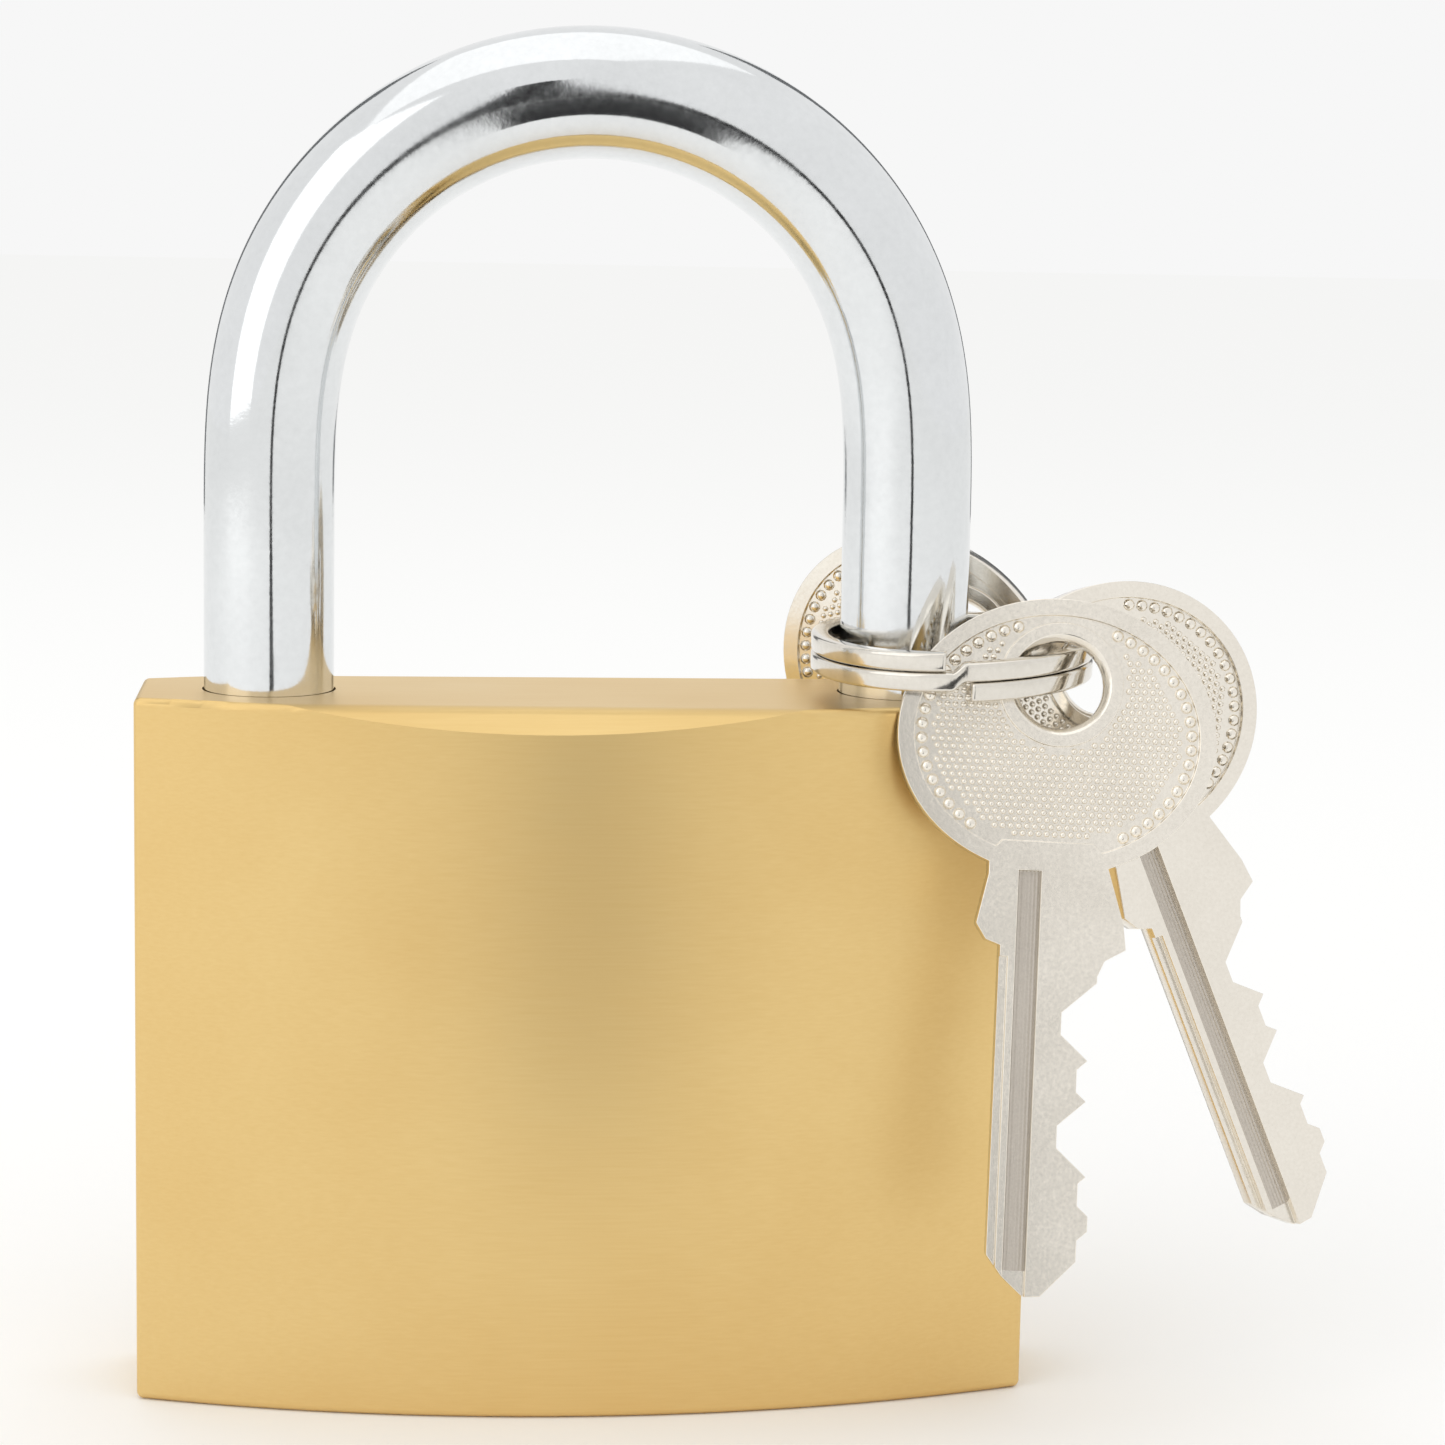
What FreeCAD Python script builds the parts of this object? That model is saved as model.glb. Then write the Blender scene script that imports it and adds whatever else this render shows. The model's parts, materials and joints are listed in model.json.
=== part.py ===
"""A 50 mm five-pin brass padlock with its split ring and three keys.

Frame: X runs along the body's width, Y from the front (-) to the back (+), Z up. The origin is the
centre of the body's bottom face. Units are millimetres. The lock is shown shut, with the plug at its
locked angle, the bolts drawn back and the pins at the shear line.
"""

import FreeCAD, Part
import math
import os

from FreeCAD import Placement, Rotation, Vector

# ---- lock body ----
BODY_WIDTH = 50.0
BODY_HEIGHT = 39.6
SIDE_THICKNESS = 8.4
MIDDLE_THICKNESS = 16.8
BODY_EDGE_RADIUS = 0.4
FRONT_BEVEL_Y = 7.1
FRONT_BEVEL_TURN = 2.0
BACK_BEVEL_Y = 5.8
BEVEL_ROUND = 1.2

# ---- shackle ----
BAR_RADIUS = 3.6
LEG_X = 17.8
SHACKLE_TOP = 76.3
BORE_RADIUS = 3.7
TOE_END = 26.0
HEEL_END = 7.5
LIFT = 14.5
LEG_CHAMFER = 0.7
NOTCH_DEPTH = 2.2
NOTCH_HALF_HEIGHT = 2.6
HEEL_BORE_BOTTOM = 2.5
HEEL_PIN_Z = 25.5
HEEL_PIN_RADIUS = 1.0
HEEL_FLAT_DEPTH = 1.2

# ---- bolts ----
BOLT_Z = 31.0
BOLT_RADIUS = 2.4
BOLT_BORE_RADIUS = 2.5
BOLT_TIP_X = 14.0
BOLT_STEP_X = 3.3
TONGUE_END_X = 2.9
TONGUE_SPLIT = 0.1
TONGUE_SLOT = (-1.8, 1.675)
BOLT_SPRING_Y = 1.25
BOLT_SPRING_DEPTH = 5.2

# ---- plug ----
PLUG_RADIUS = 4.4
PLUG_BORE_RADIUS = 4.5
PLUG_BOTTOM = 0.3
PLUG_TOP = 20.4
STEM_RADIUS = 3.2
STEM_TOP = 28.0
CRANK_RADIUS = 1.45
CRANK_PIN_RADIUS = 0.55
CRANK_TOP = 30.9
PLUG_BORE_TOP = 34.2
PLUG_GROOVE = (18.4, 20.0)
PLUG_GROOVE_RADIUS = 3.5
PLUG_PIN_RADIUS = 0.8
PLUG_PIN_X = 4.35

# ---- keys ----
KEY_THICKNESS = 1.5
HEAD_THICKNESS = 1.5
HEAD_CENTRE = (0.55, -7.35)
HEAD_HALF_WIDTH = 8.7
HEAD_HALF_HEIGHT = 7.55
KEY_HOLE = (0.65, -10.2)
KEY_HOLE_RADIUS = 2.4
KEY_HOLE_CHAMFER = 0.35
COLLAR_WIDTH = 1.0
RIM_WIDTH = 0.9
FIELD_RECESS = 0.25
PANEL_LEFT = -2.2
PANEL_RIGHT = 2.75
PANEL_TOP = -1.6
PANEL_CHAMFER = 0.7
SPINE = -2.1
BLADE_HEIGHT = 5.35
STOP = 4.11
TIP = 22.95
GROOVE = (-1.24, 0.0)
GROOVE_DEPTH = 0.5
EDGE_STEP_WIDTH = 0.45
CUT_HALF_FLAT = 0.6
CUT_FLANK = 42.0
FIRST_CUT = 8.2
CUT_PITCH = 3.05
CUT_HEIGHTS = (3.5, 4.45, 3.5, 4.75, 4.8)

# ---- pin stacks ----
FIRST_PIN_Z = 4.1
CHAMBER_RADIUS = 1.25
PIN_RADIUS = 1.17
KEY_PIN_END = 4.2
DRIVER_PIN_START = 4.45
DRIVER_PIN_LENGTH = 4.0
PIN_STOP_X = 0.6
SPINE_X = 2.9
CHAMBER_PLUG_X = 15.9
PIN_SPRING_RADIUS = 1.0
PIN_SPRING_WIRE = 0.3

# ---- keyway ----
KEYWAY_HALF_WIDTH = 0.95
KEYWAY_SIDES = (-3.0, 3.1)
KEYWAY_TOP = 19.6
WARD_HEIGHT = 0.42

# ---- split ring ----
RING_OUTER = 7.9
RING_WIRE_WIDTH = 1.0
RING_WIRE_HEIGHT = 1.05
RING_LAYER_GAP = 0.05
RING_CENTRE = Vector(20.24, -2.0, 42.14)
RING_TILT = 3.2
RING_TILT_AXIS = Vector(1, 0, 0)
RING_STEP_START = 260.0
RING_STEP_END = 268.0
RING_CUT_CLEARANCE = 1.5
RING_SPRING = 0.3
RING_SPRING_SIDE = 4.0
RING_SPRING_REACH = 80.0
RING_PATH_POINTS = 240

# ---- keys on the ring: hole centre, yaw, swing and tilt in degrees ----
KEY_POSES = {
    "key_1": (Vector(25.36, -7.65, 41.04), -4.0, 2.05, -12.5),
    "key_2": (Vector(28.14, -4.19, 41.38), 14.0, -19.6, -10.9),
    "key_3": (Vector(21.9, 6.68, 41.74), -20.7, 45.0, 0.5),
}

X_AXIS = Vector(1, 0, 0)
Y_AXIS = Vector(0, 1, 0)
Z_AXIS = Vector(0, 0, 1)
ORIGIN = Vector(0, 0, 0)
OVERCUT = 1.0


def cylinder(radius, start, direction, length):
    """A cylinder from a start point along a direction."""
    return Part.makeCylinder(radius, length, start, direction)


def box(x_range, y_range, z_range):
    """An axis-aligned box between the given limits."""
    size = [high - low for low, high in (x_range, y_range, z_range)]
    return Part.makeBox(*size, Vector(x_range[0], y_range[0], z_range[0]))


def prism(points, direction):
    """A solid from a closed flat polygon, swept along a vector."""
    wire = Part.makePolygon(list(points) + [points[0]])
    return Part.Face(wire).extrude(direction)


def coil(coil_radius, wire_radius, start, direction, length, turns):
    """A compression spring of round wire that fills a length along a direction."""
    pitch = (length - 2 * wire_radius) / turns
    path = Part.makeHelix(pitch, pitch * turns, coil_radius)
    slope = math.atan2(pitch, 2 * math.pi * coil_radius)
    tangent = Vector(0, math.cos(slope), math.sin(slope))
    section = Part.Wire(Part.makeCircle(wire_radius, Vector(coil_radius, 0, 0), tangent))
    spring = Part.Wire(path).makePipeShell([section], True, True)
    spring.translate(Vector(0, 0, wire_radius))
    spring.Placement = Placement(start, Rotation(Z_AXIS, direction)).multiply(spring.Placement)
    return spring


# ---- body ----

def body_blank():
    """The lens-section block: two shallow arcs in front and behind, two flat sides."""
    half_width = BODY_WIDTH / 2
    edge = SIDE_THICKNESS / 2
    middle = MIDDLE_THICKNESS / 2
    front = Part.Arc(Vector(-half_width, -edge, 0), Vector(0, -middle, 0), Vector(half_width, -edge, 0))
    back = Part.Arc(Vector(half_width, edge, 0), Vector(0, middle, 0), Vector(-half_width, edge, 0))
    right = Part.makeLine(Vector(half_width, -edge, 0), Vector(half_width, edge, 0))
    left = Part.makeLine(Vector(-half_width, edge, 0), Vector(-half_width, -edge, 0))
    outline = Part.Wire([front.toShape(), right, back.toShape(), left])
    block = Part.Face(outline).extrude(Vector(0, 0, BODY_HEIGHT))
    return block.makeFillet(BODY_EDGE_RADIUS, block.Edges)


def bevel_cutter(bevel_y, turn):
    """What the 45 degree bevel takes off the front top edge, with a rounded break to the flat top."""
    reach = 8.0
    run = BEVEL_ROUND * math.tan(math.radians(22.5))
    diagonal = run / math.sqrt(2)
    top_tangent = Vector(0, -(bevel_y - run), BODY_HEIGHT)
    side_tangent = Vector(0, -(bevel_y + diagonal), BODY_HEIGHT - diagonal)
    arc_centre = Vector(0, -(bevel_y - run), BODY_HEIGHT - BEVEL_ROUND)
    middle_angle = math.radians(90 + 22.5)
    middle = arc_centre + Vector(0, math.cos(middle_angle), math.sin(middle_angle)) * BEVEL_ROUND
    low = Vector(0, -(bevel_y + reach), BODY_HEIGHT - reach)
    high = Vector(0, -(bevel_y + reach), BODY_HEIGHT + OVERCUT)
    back = Vector(0, -(bevel_y - run), BODY_HEIGHT + OVERCUT)
    edges = [Part.Arc(top_tangent, middle, side_tangent).toShape()]
    edges += [Part.makeLine(side_tangent, low), Part.makeLine(low, high)]
    edges += [Part.makeLine(high, back), Part.makeLine(back, top_tangent)]
    cutter = Part.Face(Part.Wire(edges)).extrude(Vector(2 * BODY_WIDTH, 0, 0))
    cutter.translate(Vector(-BODY_WIDTH, 0, 0))
    cutter.rotate(ORIGIN, Z_AXIS, turn)
    return cutter


def shaped_blank():
    """The block with both top edges bevelled, before any hole is drilled."""
    back_cutter = bevel_cutter(BACK_BEVEL_Y, 0)
    back_cutter.rotate(ORIGIN, Z_AXIS, 180)
    return body_blank().cut([bevel_cutter(FRONT_BEVEL_Y, -FRONT_BEVEL_TURN), back_cutter])


def pin_heights():
    """The heights of the five pin stacks above the bottom face."""
    return [FIRST_PIN_Z + CUT_PITCH * number for number in range(len(CUT_HEIGHTS))]


def heel_pin_shape(radius):
    """The cross pin that holds the heel, running in from the back face."""
    inner_end = BAR_RADIUS - HEEL_FLAT_DEPTH + 0.1
    return cylinder(radius, Vector(LEG_X, inner_end, HEEL_PIN_Z), Y_AXIS, MIDDLE_THICKNESS)


def plug_pin_shape(radius):
    """The pin that runs in from the back face, tangent to the plug's groove."""
    height = sum(PLUG_GROOVE) / 2
    return cylinder(radius, Vector(PLUG_PIN_X, -3.5, height), Y_AXIS, 2 * MIDDLE_THICKNESS)


def lock_body(blank):
    """The drilled block."""
    half_width = BODY_WIDTH / 2
    top = BODY_HEIGHT + OVERCUT
    toe_bottom = TOE_END - 0.5
    holes = [
        cylinder(BORE_RADIUS, Vector(-LEG_X, 0, toe_bottom), Z_AXIS, top - toe_bottom),
        cylinder(BORE_RADIUS, Vector(LEG_X, 0, HEEL_BORE_BOTTOM), Z_AXIS, top - HEEL_BORE_BOTTOM),
        cylinder(PLUG_BORE_RADIUS, Vector(0, 0, -OVERCUT), Z_AXIS, PLUG_BORE_TOP + OVERCUT),
        cylinder(BOLT_BORE_RADIUS, Vector(-half_width - OVERCUT, 0, BOLT_Z), X_AXIS,
                 half_width + OVERCUT + LEG_X),
        heel_pin_shape(HEEL_PIN_RADIUS),
        plug_pin_shape(PLUG_PIN_RADIUS),
    ]
    for height in pin_heights():
        holes.append(cylinder(CHAMBER_RADIUS, Vector(-half_width - OVERCUT, 0, height), X_AXIS,
                              half_width + OVERCUT))
    return blank.cut(holes)


def heel_retaining_pin(blank):
    """The heel's cross pin, dressed flush with the back face."""
    return heel_pin_shape(HEEL_PIN_RADIUS).common(blank)


def plug_retaining_pin(blank):
    """The plug's pin, dressed flush with the back face."""
    return plug_pin_shape(PLUG_PIN_RADIUS).common(blank)


def chamber_plugs(blank):
    """Five brass plugs that close the pin chambers, dressed flush with the side face."""
    length = BODY_WIDTH / 2 - CHAMBER_PLUG_X + OVERCUT
    plugs = [cylinder(CHAMBER_RADIUS, Vector(-CHAMBER_PLUG_X, 0, height), -X_AXIS, length)
             for height in pin_heights()]
    return Part.makeCompound([plug.common(blank).Solids[0] for plug in plugs])


def bolt_bore_plug(blank):
    """The plug that closes the cross hole, dressed flush with the side face."""
    inner_x = LEG_X + BORE_RADIUS + 0.2
    return cylinder(BOLT_BORE_RADIUS, Vector(-inner_x, 0, BOLT_Z), -X_AXIS, 5.0).common(blank)


# ---- shackle ----

def leg_with_end(x, bottom, bend_z):
    """One straight leg with a chamfered lower end."""
    leg = cylinder(BAR_RADIUS, Vector(x, 0, bottom), Z_AXIS, bend_z - bottom)
    lowest = [edge for edge in leg.Edges if abs(edge.BoundBox.ZMax - bottom) < 0.01]
    return leg.makeChamfer(LEG_CHAMFER, lowest)


def shackle():
    """The bent bar, notched for both bolts, with the heel's flat and turning groove."""
    bend_z = SHACKLE_TOP - LEG_X - BAR_RADIUS
    section = Part.Face(Part.Wire(Part.makeCircle(BAR_RADIUS, Vector(LEG_X, 0, bend_z), Z_AXIS)))
    bend = section.revolve(Vector(0, 0, bend_z), -Y_AXIS, 180)
    bar = bend.fuse([leg_with_end(-LEG_X, TOE_END, bend_z), leg_with_end(LEG_X, HEEL_END, bend_z)])
    bar = bar.removeSplitter()
    notch_x = LEG_X - BAR_RADIUS + NOTCH_DEPTH
    notch_z = (BOLT_Z - NOTCH_HALF_HEIGHT, BOLT_Z + NOTCH_HALF_HEIGHT)
    depth = (-BAR_RADIUS - OVERCUT, BAR_RADIUS + OVERCUT)
    shoulder = HEEL_PIN_Z - HEEL_PIN_RADIUS - LIFT - 0.1
    flat_y = BAR_RADIUS - HEEL_FLAT_DEPTH
    groove_top = shoulder + 2 * HEEL_PIN_RADIUS + 0.3
    flat_top = HEEL_PIN_Z + HEEL_PIN_RADIUS + 0.2
    groove_base = Vector(LEG_X, 0, shoulder)
    groove = cylinder(BAR_RADIUS + OVERCUT, groove_base, Z_AXIS, groove_top - shoulder)
    groove = groove.cut(cylinder(flat_y, groove_base, Z_AXIS, groove_top - shoulder))
    cuts = [
        box((-notch_x, -notch_x + 2 * BAR_RADIUS), depth, notch_z),
        box((notch_x - 2 * BAR_RADIUS, notch_x), depth, notch_z),
        box((LEG_X - 5, LEG_X + 5), (flat_y, BAR_RADIUS + OVERCUT), (shoulder, flat_top)),
        groove,
    ]
    return bar.cut(cuts)


def shackle_spring():
    """The spring under the heel, squeezed by the shut shackle."""
    base = Vector(LEG_X, 0, HEEL_BORE_BOTTOM)
    return coil(2.6, 0.35, base, Z_AXIS, HEEL_END - HEEL_BORE_BOTTOM, 4)


# ---- bolts ----

def toe_bolt():
    """The left bolt: a round body with a half tongue that crosses the centre and carries a slot."""
    body = cylinder(BOLT_RADIUS, Vector(-BOLT_TIP_X, 0, BOLT_Z), X_AXIS, BOLT_TIP_X - BOLT_STEP_X)
    tongue = cylinder(BOLT_RADIUS, Vector(-BOLT_STEP_X, 0, BOLT_Z), X_AXIS, BOLT_STEP_X + TONGUE_END_X)
    high = (BOLT_Z - 5, BOLT_Z + 5)
    tongue = tongue.common(box((-BOLT_STEP_X, TONGUE_END_X), (-5, -TONGUE_SPLIT), high))
    slot = box(TONGUE_SLOT, (-5, 0), (BOLT_Z - 5, CRANK_TOP + 0.2))
    pocket_start = Vector(-BOLT_STEP_X - BOLT_SPRING_DEPTH, BOLT_SPRING_Y, BOLT_Z)
    pocket = cylinder(0.85, pocket_start, X_AXIS, BOLT_SPRING_DEPTH + OVERCUT)
    slope = prism([Vector(-BOLT_TIP_X - 1, -5, BOLT_Z - 0.5), Vector(-BOLT_TIP_X - 1, -5, BOLT_Z + 4),
                   Vector(-BOLT_TIP_X + 3.5, -5, BOLT_Z + 4)], Vector(0, 10, 0))
    bolt = body.fuse(tongue).cut([slot, slope])
    return bolt.cut(pocket.common(body))


def heel_bolt():
    """The right bolt: the left one turned half round about the lock's centre line."""
    bolt = toe_bolt()
    bolt.rotate(ORIGIN, Z_AXIS, 180)
    return bolt


def bolt_springs():
    """The two springs that push the bolts apart, each in a pocket of one bolt."""
    start_x = -BOLT_STEP_X - BOLT_SPRING_DEPTH
    length = -TONGUE_END_X - start_x
    first = coil(0.6, 0.14, Vector(start_x, BOLT_SPRING_Y, BOLT_Z), X_AXIS, length, 9)
    second = first.copy()
    second.rotate(ORIGIN, Z_AXIS, 180)
    return first, second


# ---- plug and pins ----

def plug():
    """The turning cylinder with keyway, ward, pin chambers, groove, stem and two crank pins."""
    barrel = cylinder(PLUG_RADIUS, Vector(0, 0, PLUG_BOTTOM), Z_AXIS, PLUG_TOP - PLUG_BOTTOM)
    stem = cylinder(STEM_RADIUS, Vector(0, 0, PLUG_TOP), Z_AXIS, STEM_TOP - PLUG_TOP)
    body = barrel.fuse(stem)
    offset = CRANK_RADIUS / math.sqrt(2)
    for side in (-1, 1):
        foot = Vector(side * offset, side * offset, STEM_TOP - OVERCUT)
        body = body.fuse(cylinder(CRANK_PIN_RADIUS, foot, Z_AXIS, CRANK_TOP - STEM_TOP + OVERCUT))
    across = (-KEYWAY_HALF_WIDTH, KEYWAY_HALF_WIDTH)
    keyway = box(KEYWAY_SIDES, across, (PLUG_BOTTOM - OVERCUT, KEYWAY_TOP))
    origin_x = SPINE_X + SPINE
    ward_x = (origin_x - GROOVE[1] + 0.1, origin_x - GROOVE[0] - 0.1)
    ward = box(ward_x, (-KEYWAY_HALF_WIDTH - OVERCUT, -KEYWAY_HALF_WIDTH + WARD_HEIGHT),
               (PLUG_BOTTOM - OVERCUT, KEYWAY_TOP + OVERCUT))
    groove = cylinder(PLUG_RADIUS + OVERCUT, Vector(0, 0, PLUG_GROOVE[0]), Z_AXIS,
                      PLUG_GROOVE[1] - PLUG_GROOVE[0])
    groove = groove.cut(cylinder(PLUG_GROOVE_RADIUS, ORIGIN, Z_AXIS, PLUG_TOP))
    cuts = [keyway.cut(ward), groove]
    for height in pin_heights():
        chamber_end = PIN_STOP_X + 0.1
        cuts.append(cylinder(CHAMBER_RADIUS, Vector(chamber_end, 0, height), -X_AXIS, 2 * PLUG_RADIUS))
    return body.cut(cuts)


def key_pin(number):
    """The pin whose tip rests in one cut of the right key, and whose end is at the shear line."""
    tip_x = SPINE_X - CUT_HEIGHTS[number]
    start = Vector(-KEY_PIN_END, 0, pin_heights()[number])
    pin = cylinder(PIN_RADIUS, start, X_AXIS, tip_x + KEY_PIN_END)
    tip = [edge for edge in pin.Edges if abs(edge.BoundBox.XMin - tip_x) < 0.01]
    return pin.makeChamfer(0.6, tip)


def driver_pin(number):
    """The pin that the spring pushes across the shear line."""
    pin = cylinder(PIN_RADIUS, Vector(-DRIVER_PIN_START, 0, pin_heights()[number]), -X_AXIS,
                   DRIVER_PIN_LENGTH)
    return pin


def pin_spring(number):
    """The spring between a driver pin and its chamber plug."""
    start = Vector(-CHAMBER_PLUG_X, 0, pin_heights()[number])
    length = CHAMBER_PLUG_X - DRIVER_PIN_START - DRIVER_PIN_LENGTH
    return coil(PIN_SPRING_RADIUS - PIN_SPRING_WIRE / 2, PIN_SPRING_WIRE / 2, start, X_AXIS, length, 9)


# ---- split ring and keys ----

def wire_height(angle):
    """Height of the wire's middle at an angle along its two turns.

    The wire climbs one layer over the step. Beside the cut ends both layers spring a little
    apart from flat, up before the step and down after it.
    """
    share = min(1, max(0, (angle - RING_STEP_START) / (RING_STEP_END - RING_STEP_START)))
    climb = (RING_WIRE_HEIGHT + RING_LAYER_GAP) * (3 * share ** 2 - 2 * share ** 3 - 0.5)
    middle = (RING_STEP_START + RING_STEP_END) / 2
    offset = (angle - middle + 180) % 360 - 180
    lean = min(1, max(-1, offset / RING_SPRING_SIDE))
    fade = (1 - min(abs(offset), RING_SPRING_REACH) / RING_SPRING_REACH) ** 2
    return climb - RING_SPRING * lean * fade


def split_ring():
    """One flat wire in two turns, with a short step between the cut ends."""
    first = RING_STEP_END + RING_CUT_CLEARANCE - 360
    last = RING_STEP_START - RING_CUT_CLEARANCE + 360
    middle_radius = RING_OUTER - RING_WIRE_WIDTH / 2
    points = []
    for number in range(RING_PATH_POINTS):
        angle = first + (last - first) * number / (RING_PATH_POINTS - 1)
        place = Rotation(Z_AXIS, angle).multVec(Vector(middle_radius, 0, 0))
        points.append(place + wire_height(angle) * Z_AXIS)
    curve = Part.BSplineCurve()
    curve.interpolate(points)
    start_turn = Rotation(Z_AXIS, first)
    half_width, half_height = RING_WIRE_WIDTH / 2, RING_WIRE_HEIGHT / 2
    corners = [(-half_width, -half_height), (half_width, -half_height), (half_width, half_height),
               (-half_width, half_height)]
    outline = [points[0] + start_turn.multVec(Vector(x, 0, z)) for x, z in corners + corners[:1]]
    sweep = Part.BRepOffsetAPI.MakePipeShell(Part.Wire(curve.toShape()))
    sweep.setBiNormalMode(Z_AXIS)
    sweep.add(Part.makePolygon(outline))
    sweep.build()
    sweep.makeSolid()
    ring = sweep.shape()
    ring.rotate(ORIGIN, RING_TILT_AXIS, RING_TILT)
    ring.translate(RING_CENTRE)
    return ring


def flat_point(across, along, y=0.0):
    """A point of the key's own frame: across the key, along it towards the tip, and its thickness."""
    return Vector(across, y, -along)


def key_outline():
    """The blade and shoulders, before the cuts are made."""
    crest = SPINE + BLADE_HEIGHT
    return [
        flat_point(PANEL_LEFT, PANEL_TOP), flat_point(-2.88, PANEL_TOP + PANEL_CHAMFER),
        flat_point(-2.88, 0.27), flat_point(-3.45, 2.96),
        flat_point(-2.9, 3.83), flat_point(SPINE, STOP), flat_point(SPINE, 20.8),
        flat_point(-1.31, 21.87), flat_point(-0.08, TIP), flat_point(0.82, TIP - 0.05),
        flat_point(crest, 20.37), flat_point(crest, 5.59), flat_point(3.62, 4.73),
        flat_point(4.74, 4.08), flat_point(4.56, 2.68), flat_point(3.43, PANEL_TOP + PANEL_CHAMFER),
        flat_point(PANEL_RIGHT, PANEL_TOP),
    ]


def bitting_cutters():
    """Five trapezoid cuts, each as deep as its height above the spine says."""
    lean = math.tan(math.radians(CUT_FLANK))
    cutters = []
    for number, height in enumerate(CUT_HEIGHTS):
        middle = FIRST_CUT + CUT_PITCH * number
        rise = BLADE_HEIGHT + OVERCUT - height
        spread = CUT_HALF_FLAT + rise * lean
        floor = SPINE + height
        corners = [flat_point(floor, middle - CUT_HALF_FLAT), flat_point(floor, middle + CUT_HALF_FLAT),
                   flat_point(floor + rise, middle + spread), flat_point(floor + rise, middle - spread)]
        cutter = prism(corners, Vector(0, 2 * HEAD_THICKNESS, 0))
        cutter.translate(Vector(0, -HEAD_THICKNESS, 0))
        cutters.append(cutter)
    return cutters


def oval(half_width, half_height, thickness):
    """A flat oval disc centred on the key's head."""
    ellipse = Part.Ellipse(ORIGIN, half_width, half_height).toShape()
    ellipse.rotate(ORIGIN, X_AXIS, 90)
    disc = Part.Face(Part.Wire(ellipse)).extrude(Vector(0, thickness, 0))
    disc.translate(flat_point(*HEAD_CENTRE, y=-thickness / 2))
    return disc


def head_recess(side):
    """The sunk field on one face of the head, inside the rim and round the collar and panel."""
    depth = 2 * FIELD_RECESS
    field = oval(HEAD_HALF_WIDTH - RIM_WIDTH, HEAD_HALF_HEIGHT - RIM_WIDTH, depth)
    collar_start = flat_point(*KEY_HOLE, y=-depth)
    collar = cylinder(KEY_HOLE_RADIUS + COLLAR_WIDTH, collar_start, Y_AXIS, 2 * depth)
    field = field.cut(collar)
    field.translate(Vector(0, side * HEAD_THICKNESS / 2, 0))
    return field


def key_hole_cutters():
    """The hole for the ring, with a wide chamfer at both faces."""
    outer = KEY_HOLE_RADIUS + KEY_HOLE_CHAMFER + OVERCUT
    depth = KEY_HOLE_CHAMFER + OVERCUT
    cutters = [cylinder(KEY_HOLE_RADIUS, flat_point(*KEY_HOLE, y=-5), Y_AXIS, 10)]
    for side in (-1, 1):
        mouth = flat_point(*KEY_HOLE, y=side * (HEAD_THICKNESS / 2 + OVERCUT))
        cutters.append(Part.makeCone(outer, KEY_HOLE_RADIUS, depth, mouth, -side * Y_AXIS))
    return cutters


def key():
    """One key in its own frame, hanging tip down, with its hole's centre at the origin."""
    blade = prism(key_outline(), Vector(0, KEY_THICKNESS, 0))
    blade.translate(Vector(0, -KEY_THICKNESS / 2, 0))
    blade = blade.cut(bitting_cutters())
    head = oval(HEAD_HALF_WIDTH, HEAD_HALF_HEIGHT, HEAD_THICKNESS)
    front = -KEY_THICKNESS / 2
    groove = box(GROOVE, (front - OVERCUT, front + GROOVE_DEPTH), (-TIP - OVERCUT, 0))
    edge_step = box((SPINE - OVERCUT, SPINE + EDGE_STEP_WIDTH), (front - OVERCUT, front + GROOVE_DEPTH),
                    (-TIP - OVERCUT, -STOP - 0.6))
    solid = head.cut([head_recess(-1), head_recess(1)]).fuse(blade)
    solid = solid.cut([groove, edge_step] + key_hole_cutters()).removeSplitter()
    solid.translate(-flat_point(*KEY_HOLE))
    return solid


def hung_key(blank, pose):
    """A key turned and moved so that its hole is on the ring."""
    hole, yaw, swing, tilt = pose
    turn = Rotation(Z_AXIS, yaw).multiply(Rotation(X_AXIS, tilt)).multiply(Rotation(Y_AXIS, swing))
    placed = blank.copy()
    placed.Placement = Placement(hole, turn).multiply(placed.Placement)
    return placed


def build_nodes():
    """Every node by name."""
    blank = shaped_blank()
    first_spring, second_spring = bolt_springs()
    nodes = {
        "lock_body": lock_body(blank),
        "heel_retaining_pin": heel_retaining_pin(blank),
        "plug_retaining_pin": plug_retaining_pin(blank),
        "chamber_plugs": chamber_plugs(blank),
        "bolt_bore_plug": bolt_bore_plug(blank),
        "shackle": shackle(),
        "shackle_spring": shackle_spring(),
        "toe_bolt": toe_bolt(),
        "heel_bolt": heel_bolt(),
        "bolt_spring_1": first_spring,
        "bolt_spring_2": second_spring,
        "plug": plug(),
        "split_ring": split_ring(),
    }
    for number in range(len(CUT_HEIGHTS)):
        nodes[f"key_pin_{number + 1}"] = key_pin(number)
        nodes[f"driver_pin_{number + 1}"] = driver_pin(number)
        nodes[f"pin_spring_{number + 1}"] = pin_spring(number)
    blank_key = key()
    for name, pose in KEY_POSES.items():
        nodes[name] = hung_key(blank_key, pose)
    return nodes


def main():
    """Write one STEP file per node."""
    os.makedirs("parts", exist_ok=True)
    for name, shape in build_nodes().items():
        shape.exportStep(f"parts/{name}.step")


if __name__ == "__main__":
    main()
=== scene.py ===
"""Visual model of a brass padlock with a chromed shackle, a split ring and three keys."""
import json
import logging
import math
from dataclasses import dataclass
from enum import Enum

import bmesh
import bpy
import numpy as np
from mathutils import Matrix, Vector


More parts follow.
